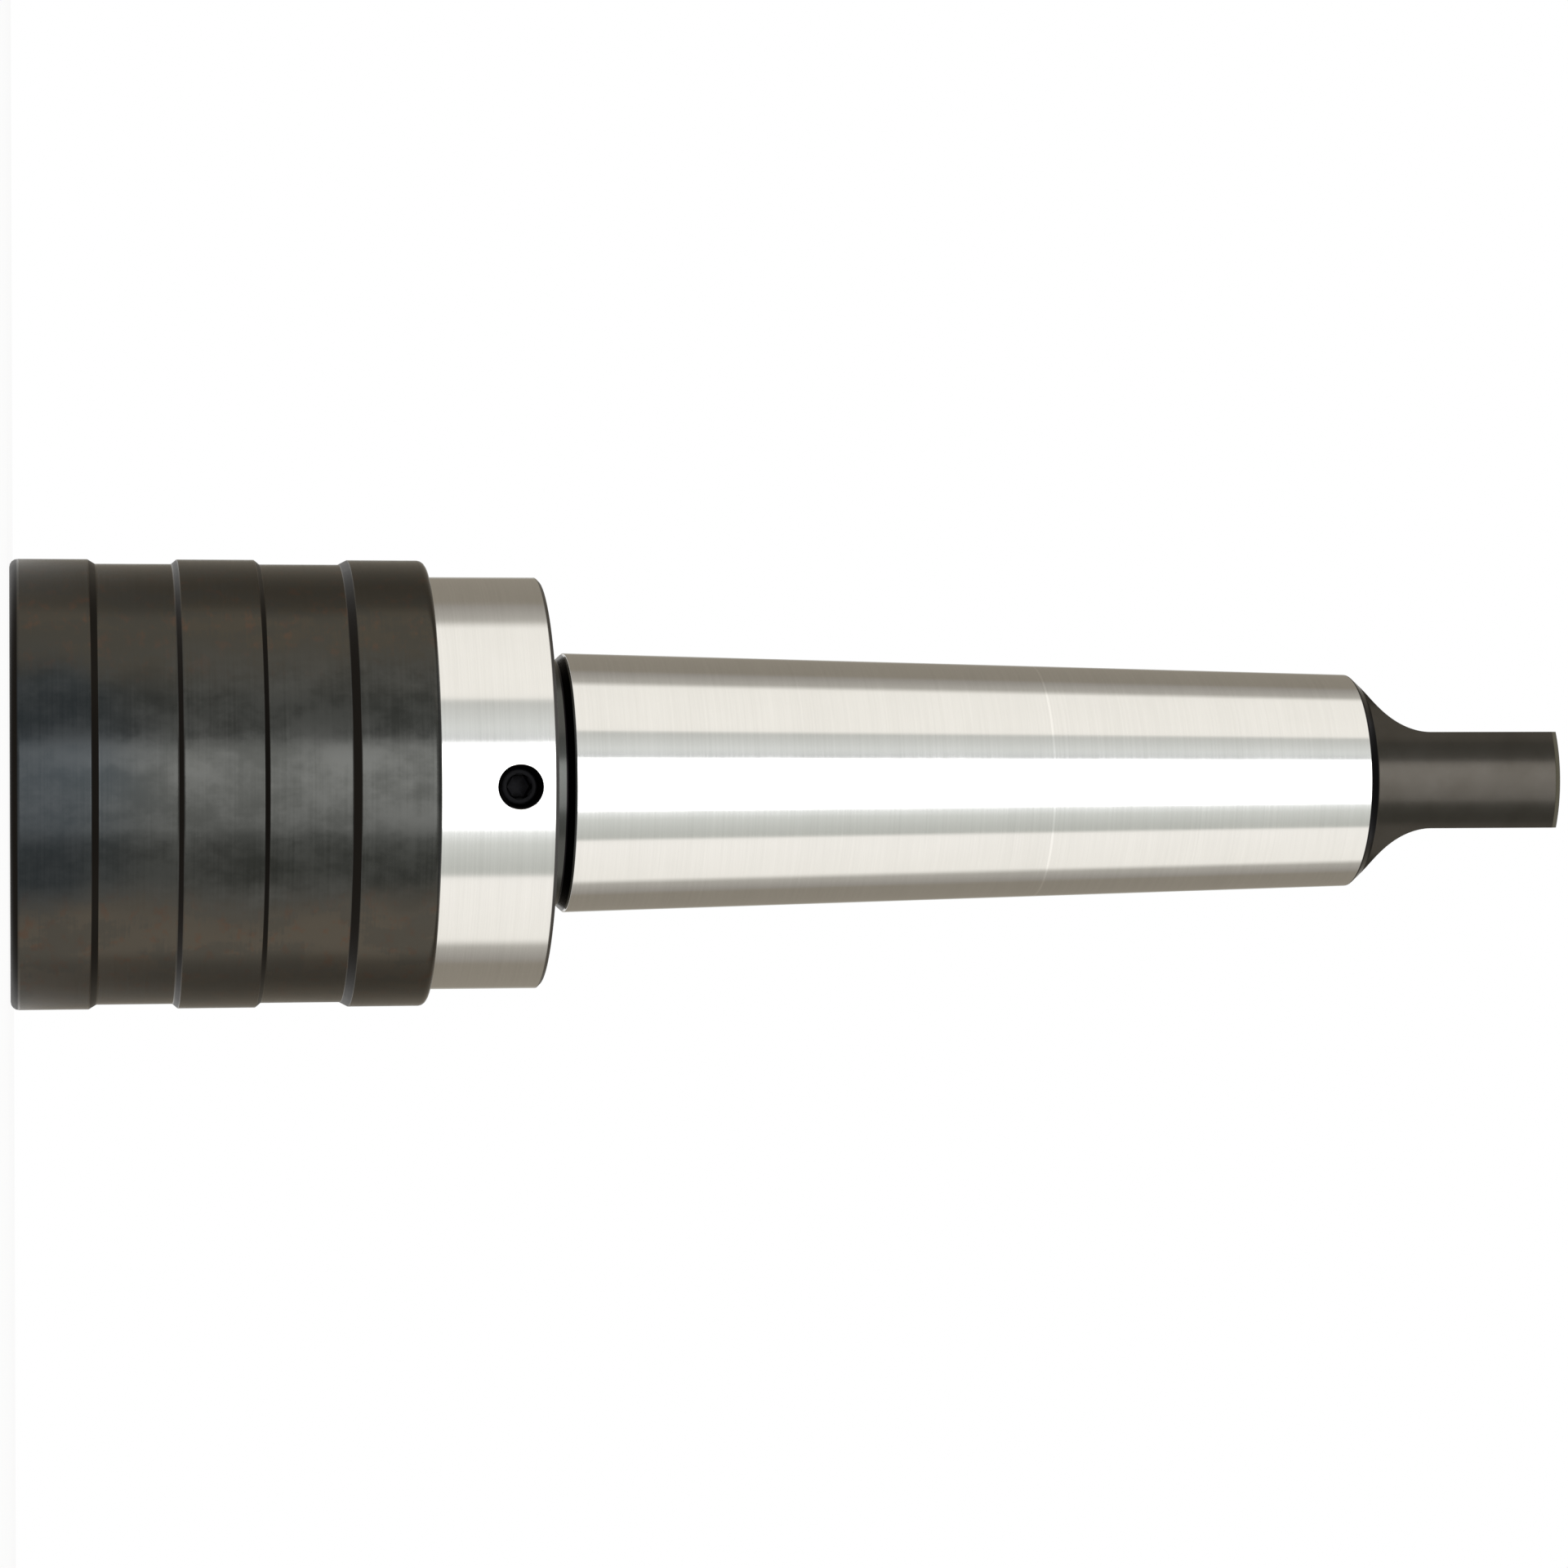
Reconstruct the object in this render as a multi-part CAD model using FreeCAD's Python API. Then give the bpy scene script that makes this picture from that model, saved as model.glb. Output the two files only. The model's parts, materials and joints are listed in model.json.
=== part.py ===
import FreeCAD, Part
import math
import os

# Quick-change tapping chuck with axial float on a Morse taper shank with tang.
# Millimetres. The axis is Z, the nose face is at height 0 and the shank points up.

# Clearances shared by every fit
running = 0.05            # radial gap of a guide that slides
seated = 0.02             # radial gap of a fixed fit
stop_gap = 0.3            # axial gap left at the end of a travel
face_gap = 0.05           # axial gap between faces that rest on each other across a joint

# Travels
float_travel = 6.0        # length compensation, each way
sleeve_travel = 3.5       # rearward pull that frees the adaptor

# Release sleeve, outside
sleeve_wall = 1.85        # skirt over the barrel
land_depth = 0.55         # depth of the two turned recesses
band_front = 9.2          # first raised band
band_middle_start = 19.8
band_middle_end = 29.0
band_rear_length = 9.3
recess_ramp_front = 0.9   # axial length of the ramps at the four recess edges
recess_ramp_middle = 0.65
recess_ramp_rear = 1.05
sleeve_front_round = 1.0
sleeve_rear_round = 0.9

# Floating spindle
bore_radius = 15.5        # adaptor bore
bore_depth = 35.0
bore_mouth_chamfer = 1.2
spindle_wall = 4.5
relief_start = 8.0        # relieved stretch of the bore round the locking balls
relief_end = 16.0
relief_depth = 0.3
shoulder_start = 24.5     # seat of the sleeve spring
shoulder_thickness = 2.0
shoulder_height = 2.8
slot_width = 8.0          # drive slots for the adaptor's lugs
slot_depth = 6.0
slot_reach = 2.9
head_recess_depth = 5.0
web_thickness = 4.0
spring_pocket_depth = 5.0
spring_pocket_radius = 9.5
nose_chamfer = 0.5

# Locking balls and the cam in the sleeve
lock_ball_radius = 3.25
lock_ball_height = 12.0
lock_ball_reach = 1.25    # how far a ball stands into the bore
lock_ball_count = 3
lock_ball_first_angle = 30.0
lock_hole_lip = 0.35      # radius lost at the inner end of a ball hole
cam_slope = 0.5           # radius lost per millimetre of height
cam_gap = 0.02            # between ball and cone
shoulder_clearance = 0.4  # round the spindle's shoulder
lip_start = 3.0           # inner lip that bears on the snap ring
lip_thickness = 1.2
clip_clearance = 0.53     # round the snap ring
land_end = 17.0           # rear end of the land that guides the sleeve
chamber_start = 23.0      # sleeve bore opens here to clear the barrel

# Snap ring that keeps the sleeve on
clip_thickness = 1.2
clip_width = 3.25
clip_groove_depth = 0.8
clip_gap_width = 7.0
clip_hole_radius = 0.9

# Sleeve spring
sleeve_spring_wire = 1.2
sleeve_spring_turns = 3.0

# Barrel
barrel_wall = 4.95
barrel_exposed = 13.8     # stretch that shows behind the sleeve
stub_length = 8.0         # end of the shank that the barrel sits on
barrel_rear_chamfer = 0.4
barrel_front_chamfer = 1.0
sleeve_over_barrel = 0.15
wiper_from_rear = 4.1
wiper_thickness = 1.8
wiper_width = 0.96

# Torque balls
torque_ball_radius = 2.5
torque_ball_pitch = 5.2
torque_balls_per_row = 2
torque_row_count = 3
torque_groove_wall = 0.7  # left in the spindle behind each groove
torque_first_angle = 90.0

# Lock screw, an M5 set screw with a 2.5 mm hexagon socket
screw_radius = 2.5
screw_from_rear = 4.45
screw_angle = -88.7
screw_recess = 2.0
screw_length = 5.0
screw_point = 1.0
screw_socket_width = 2.5
screw_socket_depth = 2.3
screw_mouth_radius = 2.65

# Rod, nut, washer and the two inner springs
rod_radius = 4.0
rod_head_radius = 6.5
rod_head_height = 4.0
rod_socket_width = 5.0
rod_socket_depth = 2.4
rod_overhang = 2.2
rod_tip_chamfer = 1.0
compression_spring_length = 32.0
compression_spring_radius = 7.0
compression_spring_wire = 2.2
compression_spring_turns = 7.0
tension_spring_length = 26.0
tension_spring_radius = 6.6
tension_spring_wire = 2.0
tension_spring_turns = 7.0
collar_thickness = 4.0
collar_clip_thickness = 1.2
collar_clip_width = 2.1
collar_clip_groove = 0.6
collar_clip_gap = 5.0
washer_radius = 8.0
washer_thickness = 2.0
nut_width = 13.0
nut_height = 6.8
nut_chamfer = 0.8

# Facets of the coiled wire
wire_sides = 8
coil_sagitta = 0.14       # most that a straight facet leaves the true helix

# Shank, Morse taper No. 4 with tang
stub_collar_bore = 10.0
deep_bore_radius = 9.0
deep_bore_margin = 3.0
drill_point_angle = 118.0
neck_radius = 14.9
neck_length = 2.2
neck_bevel = 1.0
taper_big_radius = 15.8
taper_on_diameter = 0.05194
taper_length = 99.4
cone_end_round = 0.8
tang_length = 23.6
tang_turned_radius = 12.25
tang_thickness = 11.9
tang_blend_radius = 6.4
tang_blend_run = 7.1      # from the end of the cone to the full flats
tang_edge_chamfer = 0.8
centre_hole_radius = 3.15
centre_pilot_radius = 1.25
centre_pilot_depth = 3.0

# Heights and radii that follow from the values above
spindle_radius = bore_radius + spindle_wall
barrel_bore_radius = spindle_radius + running
barrel_radius = barrel_bore_radius + barrel_wall
chamber_radius = barrel_radius + sleeve_over_barrel
sleeve_radius = chamber_radius + sleeve_wall
sleeve_land_radius = sleeve_radius - land_depth
shoulder_radius = spindle_radius + shoulder_height
shoulder_end = shoulder_start + shoulder_thickness
cam_recess_radius = shoulder_radius + shoulder_clearance
head_seat = bore_depth + head_recess_depth
pocket_floor = head_seat + web_thickness
spindle_rear = pocket_floor + spring_pocket_depth
ball_rest_radius = bore_radius - lock_ball_reach + lock_ball_radius
sleeve_bore_radius = spindle_radius + running
barrel_front = chamber_start + sleeve_travel + float_travel + stop_gap
stub_front = spindle_rear + float_travel + stop_gap
barrel_rear = stub_front + stub_length
sleeve_length = barrel_rear - barrel_exposed
band_rear_start = sleeve_length - band_rear_length
wiper_height = sleeve_length - wiper_from_rear
screw_height = barrel_rear - screw_from_rear
clip_rear = lip_start - face_gap
clip_front = clip_rear - clip_thickness
clip_groove_radius = spindle_radius - clip_groove_depth
nose_recess_radius = clip_groove_radius + seated + clip_width + clip_clearance
collar_front = pocket_floor + compression_spring_length
collar_rear = collar_front + collar_thickness
washer_front = collar_rear + tension_spring_length
nut_front = washer_front + washer_thickness
nut_rear = nut_front + nut_height
rod_end = nut_rear + rod_overhang
rod_front = head_seat - rod_head_height
deep_bore_end = rod_end + float_travel + deep_bore_margin
taper_big_end = barrel_rear + neck_length + neck_bevel
cone_end = taper_big_end + taper_length
cone_end_radius = taper_big_radius - taper_on_diameter / 2 * taper_length
tang_end = cone_end + tang_length
torque_row_half = torque_ball_pitch * (torque_balls_per_row - 1) / 2 + torque_ball_radius
torque_row_centre = spindle_rear - torque_groove_wall - running - float_travel / 2 - torque_row_half


def at(angle, radius, height):
    """Point at a polar angle in degrees, a radius and a height."""
    turn = math.radians(angle)
    return FreeCAD.Vector(radius * math.cos(turn), radius * math.sin(turn), height)


def cylinder(radius, start, end):
    """Upright cylinder on the axis from one height to another."""
    return Part.makeCylinder(radius, end - start, FreeCAD.Vector(0, 0, start))


def tube(outer, inner, start, end):
    """Upright tube on the axis."""
    return cylinder(outer, start, end).cut(cylinder(inner, start, end))


def cone(radius_start, radius_end, start, end):
    """Upright truncated cone on the axis."""
    return Part.makeCone(radius_start, radius_end, end - start, FreeCAD.Vector(0, 0, start))


def turned(points):
    """Solid turned about the axis from the (radius, height) corners of half its section."""
    corners = [FreeCAD.Vector(radius, 0, height) for radius, height in points]
    face = Part.Face(Part.makePolygon(corners + corners[:1]))
    return face.revolve(FreeCAD.Vector(0, 0, 0), FreeCAD.Vector(0, 0, 1), 360)


def rims(solid, radius, height):
    """Circular edges of a turned solid at one radius and height."""
    found = []
    for edge in solid.Edges:
        curve = edge.Curve
        if isinstance(curve, Part.Circle):
            near_height = abs(curve.Center.z - height) < 1e-4
            if near_height and abs(curve.Radius - radius) < 1e-4:
                found.append(edge)
    return found


def rounded_rim(solid, radius, height, size):
    """The solid with one circular edge rounded."""
    return solid.makeFillet(size, rims(solid, radius, height))


def chamfered_rim(solid, radius, height, size):
    """The solid with one circular edge chamfered."""
    return solid.makeChamfer(size, rims(solid, radius, height))


def hexagon(width, start, end):
    """Upright hexagonal prism on the axis, measured across its flats."""
    corner_radius = width / math.sqrt(3)
    corners = [at(60 * step, corner_radius, start) for step in range(7)]
    return Part.Face(Part.makePolygon(corners)).extrude(FreeCAD.Vector(0, 0, end - start))


def radial_cylinder(radius, angle, height, start, end):
    """Cylinder that points away from the axis, between two distances from it."""
    direction = at(angle, 1, 0)
    return Part.makeCylinder(radius, end - start, at(angle, start, height), direction)


def wire_ring(mean_radius, wire_radius, angle, height):
    """Corners of the wire's section where the coil has turned by an angle in radians."""
    corners = []
    for side in range(wire_sides):
        turn = 2 * math.pi * side / wire_sides
        radius = mean_radius + wire_radius * math.cos(turn)
        corners.append(FreeCAD.Vector(
            radius * math.cos(angle), radius * math.sin(angle), height + wire_radius * math.sin(turn)))
    return corners


def coil(mean_radius, wire, start, end, turns):
    """Helical spring between two seats, its wire a run of short straight facets."""
    wire_radius = wire / 2
    first = start + wire_radius + face_gap
    rise = end - start - wire - 2 * face_gap
    steps = math.ceil(turns * math.pi / math.sqrt(2 * coil_sagitta / mean_radius))
    rings = []
    for step in range(steps + 1):
        share = step / steps
        rings.append(wire_ring(mean_radius, wire_radius, 2 * math.pi * turns * share, first + rise * share))
    corners = [rings[0], rings[-1]]
    for low, high in zip(rings, rings[1:]):
        for side in range(wire_sides):
            after = (side + 1) % wire_sides
            corners.append([low[side], low[after], high[after]])
            corners.append([low[side], high[after], high[side]])
    faces = [Part.Face(Part.makePolygon(points + points[:1])) for points in corners]
    shell = Part.makeShell(faces)
    shell.sewShape()
    solid = Part.Solid(Part.Shell(shell.Faces))
    if solid.Volume < 0:
        solid.reverse()
    return solid


def split_ring(outer, inner, start, end, gap):
    """Retaining ring with a gap that opens toward +X."""
    ring = tube(outer, inner, start, end)
    opening = Part.makeBox(outer, gap, end - start, FreeCAD.Vector(0, -gap / 2, start))
    return ring.cut(opening)


def drilled_blind(radius, start, end):
    """Blind hole with the cone that a drill leaves at its bottom."""
    point = radius / math.tan(math.radians(drill_point_angle / 2))
    return cylinder(radius, start, end).fuse(cone(radius, 0, end, end + point))


def release_sleeve():
    """Outer sleeve with two turned recesses, the cam cone inside and the rear skirt."""
    cam_radius_over_ball = ball_rest_radius + (lock_ball_radius + cam_gap) * math.sqrt(1 + cam_slope ** 2)
    cam_end = lock_ball_height + (cam_radius_over_ball - sleeve_bore_radius) / cam_slope
    cam_start = cam_end - (cam_recess_radius - sleeve_bore_radius) / cam_slope
    outside = [
        (sleeve_radius, 0), (sleeve_radius, band_front),
        (sleeve_land_radius, band_front + recess_ramp_front),
        (sleeve_land_radius, band_middle_start - recess_ramp_middle),
        (sleeve_radius, band_middle_start), (sleeve_radius, band_middle_end),
        (sleeve_land_radius, band_middle_end + recess_ramp_middle),
        (sleeve_land_radius, band_rear_start - recess_ramp_rear),
        (sleeve_radius, band_rear_start), (sleeve_radius, sleeve_length)]
    inside = [
        (chamber_radius, sleeve_length), (chamber_radius, chamber_start),
        (cam_recess_radius, chamber_start), (cam_recess_radius, land_end),
        (sleeve_bore_radius, land_end), (sleeve_bore_radius, cam_end),
        (cam_recess_radius, cam_start), (cam_recess_radius, lip_start + lip_thickness),
        (sleeve_bore_radius, lip_start + lip_thickness), (sleeve_bore_radius, lip_start),
        (nose_recess_radius, lip_start), (nose_recess_radius, 0)]
    body = turned(outside + inside)
    body = rounded_rim(body, sleeve_radius, 0, sleeve_front_round)
    body = rounded_rim(body, sleeve_radius, sleeve_length, sleeve_rear_round)
    groove = tube(barrel_radius + running + wiper_width + seated, chamber_radius - stop_gap,
                  wiper_height - seated, wiper_height + wiper_thickness + seated)
    return body.cut(groove)


def wiper_ring():
    """Ring in the sleeve that wipes the barrel."""
    inner = barrel_radius + running
    return tube(inner + wiper_width, inner, wiper_height, wiper_height + wiper_thickness)


def floating_spindle():
    """Spindle with the adaptor bore, drive slots, ball holes, spring shoulder and ball grooves."""
    body = turned([
        (0, 0), (spindle_radius, 0), (spindle_radius, shoulder_start),
        (shoulder_radius, shoulder_start), (shoulder_radius, shoulder_end),
        (spindle_radius, shoulder_end), (spindle_radius, spindle_rear), (0, spindle_rear)])
    body = chamfered_rim(body, spindle_radius, 0, nose_chamfer)
    body = body.cut(cylinder(bore_radius, 0, bore_depth))
    mouth = bore_mouth_chamfer
    body = body.cut(cone(bore_radius + mouth, bore_radius, 0, mouth))
    body = body.cut(cylinder(bore_radius + relief_depth, relief_start, relief_end))
    body = body.cut(cylinder(rod_head_radius + stop_gap, bore_depth, head_seat))
    body = body.cut(cylinder(rod_radius + seated, head_seat, pocket_floor))
    body = body.cut(cylinder(spring_pocket_radius, pocket_floor, spindle_rear))
    body = body.cut(tube(spindle_radius + 1, clip_groove_radius, clip_front - seated, clip_rear + seated))
    body = body.cut(drive_slots())
    for angle in lock_ball_angles():
        body = body.cut(lock_ball_hole(angle))
    for angle in torque_row_angles():
        half = torque_row_half + float_travel / 2 + running
        body = body.cut(torque_groove(angle, torque_row_centre - half, torque_row_centre + half))
    return body


def drive_slots():
    """Slots across the nose that take the two lugs of an adaptor, with rounded bottoms."""
    reach = bore_radius + slot_reach
    bar = Part.makeBox(2 * reach, slot_width, slot_depth, FreeCAD.Vector(-reach, -slot_width / 2, 0))
    return bar.common(cylinder(reach, 0, slot_depth))


def lock_ball_angles():
    """Directions of the locking balls round the spindle."""
    return [lock_ball_first_angle + 360 * step / lock_ball_count for step in range(lock_ball_count)]


def torque_row_angles():
    """Directions of the ball rows between spindle and barrel."""
    return [torque_first_angle + 360 * step / torque_row_count for step in range(torque_row_count)]


def lock_ball_hole(angle):
    """Radial hole for one locking ball, with an inner lip that keeps the ball in."""
    hole_radius = lock_ball_radius + running
    lip_radius = lock_ball_radius - lock_hole_lip
    lip_touch = ball_rest_radius - math.sqrt(lock_ball_radius ** 2 - lip_radius ** 2)
    outer = radial_cylinder(hole_radius, angle, lock_ball_height, lip_touch - running, spindle_radius + 1)
    inner = radial_cylinder(lip_radius, angle, lock_ball_height, bore_radius / 2, spindle_radius)
    return outer.fuse(inner)


def locking_ball(angle):
    """One ball that locks the adaptor, at rest in its hole."""
    return Part.makeSphere(lock_ball_radius, at(angle, ball_rest_radius, lock_ball_height))


def torque_groove(angle, start, end):
    """Round groove along the axis, centred on the face between spindle and barrel."""
    radius = torque_ball_radius + running
    return Part.makeCylinder(radius, end - start, at(angle, spindle_radius, start))


def torque_ball_row(angle):
    """One row of the balls that carry the torque and let the spindle float."""
    balls = []
    for step in range(torque_balls_per_row):
        offset = (step - (torque_balls_per_row - 1) / 2) * torque_ball_pitch
        balls.append(Part.makeSphere(
            torque_ball_radius, at(angle, spindle_radius, torque_row_centre + offset)))
    return Part.makeCompound(balls)


def sleeve_clip():
    """Snap ring on the nose that stops the sleeve, with two holes for pliers."""
    inner = clip_groove_radius + seated
    outer = inner + clip_width
    ring = split_ring(outer, inner, clip_front, clip_rear, clip_gap_width)
    middle = (inner + outer) / 2
    spread = math.degrees((clip_gap_width / 2 + 2 * clip_hole_radius) / middle)
    for angle in (spread, -spread):
        hole = Part.makeCylinder(clip_hole_radius, clip_thickness, at(angle, middle, clip_front))
        ring = ring.cut(hole)
    return ring


def sleeve_spring():
    """Spring that keeps the sleeve forward."""
    mean = (sleeve_bore_radius + cam_recess_radius) / 2
    return coil(mean, sleeve_spring_wire, land_end, shoulder_start, sleeve_spring_turns)


def barrel():
    """Outer tube with the ball grooves inside and the tapped hole of the lock screw."""
    body = tube(barrel_radius, barrel_bore_radius, barrel_front, barrel_rear)
    body = chamfered_rim(body, barrel_radius, barrel_rear, barrel_rear_chamfer)
    body = chamfered_rim(body, barrel_radius, barrel_front, barrel_front_chamfer)
    groove_end = torque_row_centre + torque_row_half + float_travel / 2 + stop_gap
    for angle in torque_row_angles():
        body = body.cut(torque_groove(angle, barrel_front, groove_end))
    body = body.cut(radial_cylinder(
        screw_radius + seated, screw_angle, screw_height, spindle_radius - 1, barrel_radius + 1))
    mouth = screw_mouth_radius - screw_radius
    countersink = Part.makeCone(
        screw_radius, screw_mouth_radius + 1, mouth + 1,
        at(screw_angle, barrel_radius - mouth, screw_height), at(screw_angle, 1, 0))
    return body.cut(countersink)


def lock_screw():
    """Set screw that locks the barrel on the shank, with a hexagon socket and a cone point."""
    body = Part.makeCylinder(screw_radius, screw_length - screw_point)
    tip = Part.makeCone(screw_radius / 2, screw_radius, screw_point, FreeCAD.Vector(0, 0, -screw_point))
    body = body.fuse(tip)
    top = screw_length - screw_point
    body = body.cut(hexagon(screw_socket_width, top - screw_socket_depth, top))
    body = body.removeSplitter()
    body.rotate(FreeCAD.Vector(0, 0, 0), FreeCAD.Vector(0, 1, 0), 90)
    body.rotate(FreeCAD.Vector(0, 0, 0), FreeCAD.Vector(0, 0, 1), screw_angle)
    body.translate(at(screw_angle, barrel_radius - screw_recess - top, screw_height))
    return body


def compression_spring():
    """Inner spring that pushes the spindle forward."""
    return coil(compression_spring_radius, compression_spring_wire, pocket_floor, collar_front,
                compression_spring_turns)


def tension_spring():
    """Inner spring behind the collar that pulls the rod and spindle back."""
    return coil(tension_spring_radius, tension_spring_wire, collar_rear, washer_front,
                tension_spring_turns)


def spring_collar():
    """Collar fixed in the shank, the seat of both inner springs."""
    return tube(stub_collar_bore - seated, rod_radius + running, collar_front, collar_rear)


def collar_clip():
    """Snap ring in the shank that holds the collar."""
    outer = stub_collar_bore + collar_clip_groove - seated
    start = collar_front - collar_clip_thickness
    return split_ring(outer, outer - collar_clip_width, start, collar_front, collar_clip_gap)


def pull_rod():
    """Headed rod that ties the spindle to the tension spring."""
    body = turned([
        (0, rod_front), (rod_head_radius, rod_front), (rod_head_radius, head_seat),
        (rod_radius, head_seat), (rod_radius, rod_end), (0, rod_end)])
    body = chamfered_rim(body, rod_radius, rod_end, rod_tip_chamfer)
    body = chamfered_rim(body, rod_head_radius, rod_front, nose_chamfer)
    return body.cut(hexagon(rod_socket_width, rod_front, rod_front + rod_socket_depth))


def rod_washer():
    """Washer between the tension spring and the nut."""
    return tube(washer_radius, rod_radius + seated, washer_front, nut_front)


def rod_nut():
    """Hexagon nut on the rod, chamfered at both ends."""
    corner_radius = nut_width / math.sqrt(3)
    body = hexagon(nut_width, nut_front, nut_rear)
    blank = chamfered_rim(cylinder(corner_radius, nut_front, nut_rear), corner_radius, nut_front, nut_chamfer)
    blank = chamfered_rim(blank, corner_radius, nut_rear, nut_chamfer)
    return body.common(blank).cut(cylinder(rod_radius + seated, nut_front, nut_rear))


def taper_shank():
    """Stub, neck, taper and tang, bored from the front for the springs and the rod."""
    body = turned([
        (0, stub_front), (spindle_radius + running - seated, stub_front),
        (spindle_radius + running - seated, barrel_rear), (neck_radius, barrel_rear),
        (neck_radius, barrel_rear + neck_length), (taper_big_radius, taper_big_end),
        (cone_end_radius, cone_end),
        (tang_turned_radius, cone_end + cone_end_radius - tang_turned_radius),
        (tang_turned_radius, tang_end), (0, tang_end)])
    body = rounded_rim(body, cone_end_radius, cone_end, cone_end_round)
    body = chamfered_rim(body, tang_turned_radius, tang_end, tang_edge_chamfer)
    for side in (1, -1):
        body = body.cut(tang_cut(side))
    bore = cylinder(stub_collar_bore, stub_front, collar_rear)
    bore = bore.fuse(drilled_blind(deep_bore_radius, collar_rear, deep_bore_end))
    groove = cylinder(stub_collar_bore + collar_clip_groove,
                      collar_front - collar_clip_thickness - seated, collar_front)
    body = body.cut(bore.fuse(groove))
    body = body.cut(radial_cylinder(
        screw_radius + seated, screw_angle, screw_height,
        barrel_radius - screw_recess - screw_length - seated, barrel_radius))
    return body.cut(centre_hole())


def tang_cut(side):
    """Stock milled off one side of the tang, with the cutter's radius where it meets the cone."""
    half = tang_thickness / 2
    flat_start = cone_end + tang_blend_run
    far = taper_big_radius + 2
    centre = FreeCAD.Vector(side * (half + tang_blend_radius), -far, flat_start)
    beyond = tang_end + 2
    corner = FreeCAD.Vector(side * half if side > 0 else -far, -far, flat_start)
    slab = Part.makeBox(far - half, 2 * far, beyond - flat_start, corner)
    cutter = Part.makeCylinder(tang_blend_radius, 2 * far, centre, FreeCAD.Vector(0, 1, 0))
    return slab.fuse(cutter)


def centre_hole():
    """Turning centre in the end of the tang, 60 degrees with a pilot."""
    depth = (centre_hole_radius - centre_pilot_radius) / math.tan(math.radians(30))
    seat = cone(centre_pilot_radius, centre_hole_radius, tang_end - depth, tang_end)
    pilot = cylinder(centre_pilot_radius, tang_end - depth - centre_pilot_depth, tang_end)
    return seat.fuse(pilot)


def build():
    """Every node by name."""
    nodes = {
        "taper_shank": taper_shank(),
        "barrel": barrel(),
        "lock_screw": lock_screw(),
        "spring_collar": spring_collar(),
        "collar_clip": collar_clip(),
        "compression_spring": compression_spring(),
        "tension_spring": tension_spring(),
        "floating_spindle": floating_spindle(),
        "pull_rod": pull_rod(),
        "rod_washer": rod_washer(),
        "rod_nut": rod_nut(),
        "sleeve_clip": sleeve_clip(),
        "sleeve_spring": sleeve_spring(),
        "release_sleeve": release_sleeve(),
        "wiper_ring": wiper_ring(),
    }
    for number, angle in enumerate(lock_ball_angles(), 1):
        nodes[f"locking_ball_{number}"] = locking_ball(angle)
    for number, angle in enumerate(torque_row_angles(), 1):
        nodes[f"torque_ball_row_{number}"] = torque_ball_row(angle)
    return nodes


os.makedirs("parts", exist_ok=True)
for name, shape in build().items():
    shape.exportStep(f"parts/{name}.step")
    print(name, len(shape.Solids), shape.isValid(), round(shape.Volume, 1))
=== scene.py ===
import json
import math

import bmesh
import bpy
import numpy as np
from mathutils import Matrix, Vector

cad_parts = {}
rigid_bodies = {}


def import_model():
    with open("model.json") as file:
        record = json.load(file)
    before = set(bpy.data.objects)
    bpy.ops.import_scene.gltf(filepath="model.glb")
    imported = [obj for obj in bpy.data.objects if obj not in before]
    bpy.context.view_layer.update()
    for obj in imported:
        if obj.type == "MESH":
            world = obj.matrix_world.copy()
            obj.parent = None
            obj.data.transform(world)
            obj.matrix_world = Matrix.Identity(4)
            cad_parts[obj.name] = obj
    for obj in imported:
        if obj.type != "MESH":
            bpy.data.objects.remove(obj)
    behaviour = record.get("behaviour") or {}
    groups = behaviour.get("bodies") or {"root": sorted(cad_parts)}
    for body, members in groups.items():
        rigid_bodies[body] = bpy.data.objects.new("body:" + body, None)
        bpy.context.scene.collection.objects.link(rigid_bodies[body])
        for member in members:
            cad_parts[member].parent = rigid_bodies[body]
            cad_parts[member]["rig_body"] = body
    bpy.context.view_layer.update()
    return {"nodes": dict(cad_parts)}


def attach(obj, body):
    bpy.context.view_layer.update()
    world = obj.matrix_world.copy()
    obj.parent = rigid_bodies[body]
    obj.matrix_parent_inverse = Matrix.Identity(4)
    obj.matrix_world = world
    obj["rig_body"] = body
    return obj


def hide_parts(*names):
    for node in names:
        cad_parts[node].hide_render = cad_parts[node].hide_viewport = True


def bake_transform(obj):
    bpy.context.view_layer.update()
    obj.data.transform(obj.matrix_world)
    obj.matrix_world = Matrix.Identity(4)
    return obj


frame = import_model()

MM = 0.001

# Release sleeve. Lengths are in mm and heights go up from the nose, here and below
SLEEVE_RADIUS, SLEEVE_LAND_RADIUS, SLEEVE_LENGTH = 27.0, 26.45, 49.5
BAND_EDGES = (9.2, 10.1, 19.15, 19.8, 29.0, 29.65, 39.15, 40.2)
SLEEVE_BORE, SLEEVE_CHAMBER, CHAMBER_FRONT = 20.05, 25.15, 23.0
CAM_RECESS, CAM_FRONT, CAM_START, CAM_END, CAM_LAND_END = 23.2, 4.2, 7.912, 14.212, 17.0
NOSE_RECESS, NOSE_DEPTH = 23.0, 3.0
WIPER_GROOVE, WIPER_FRONT, WIPER_REAR = 26.03, 45.38, 47.22
SLEEVE_COLUMNS = 192

# Barrel
BARREL_RADIUS, BARREL_BORE, BARREL_FRONT, BARREL_REAR = 25.0, 20.05, 32.8, 63.3
FRONT_CHAMFER, REAR_CHAMFER = 1.0, 0.4
GROOVE_BALL, GROOVE_CIRCLE, GROOVE_END = 2.55, 20.0, 48.55
GROOVE_ANGLES = (90, 210, 330)
BARREL_COLUMNS = 256
BARREL_STEP = 2 * np.pi / BARREL_COLUMNS

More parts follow.
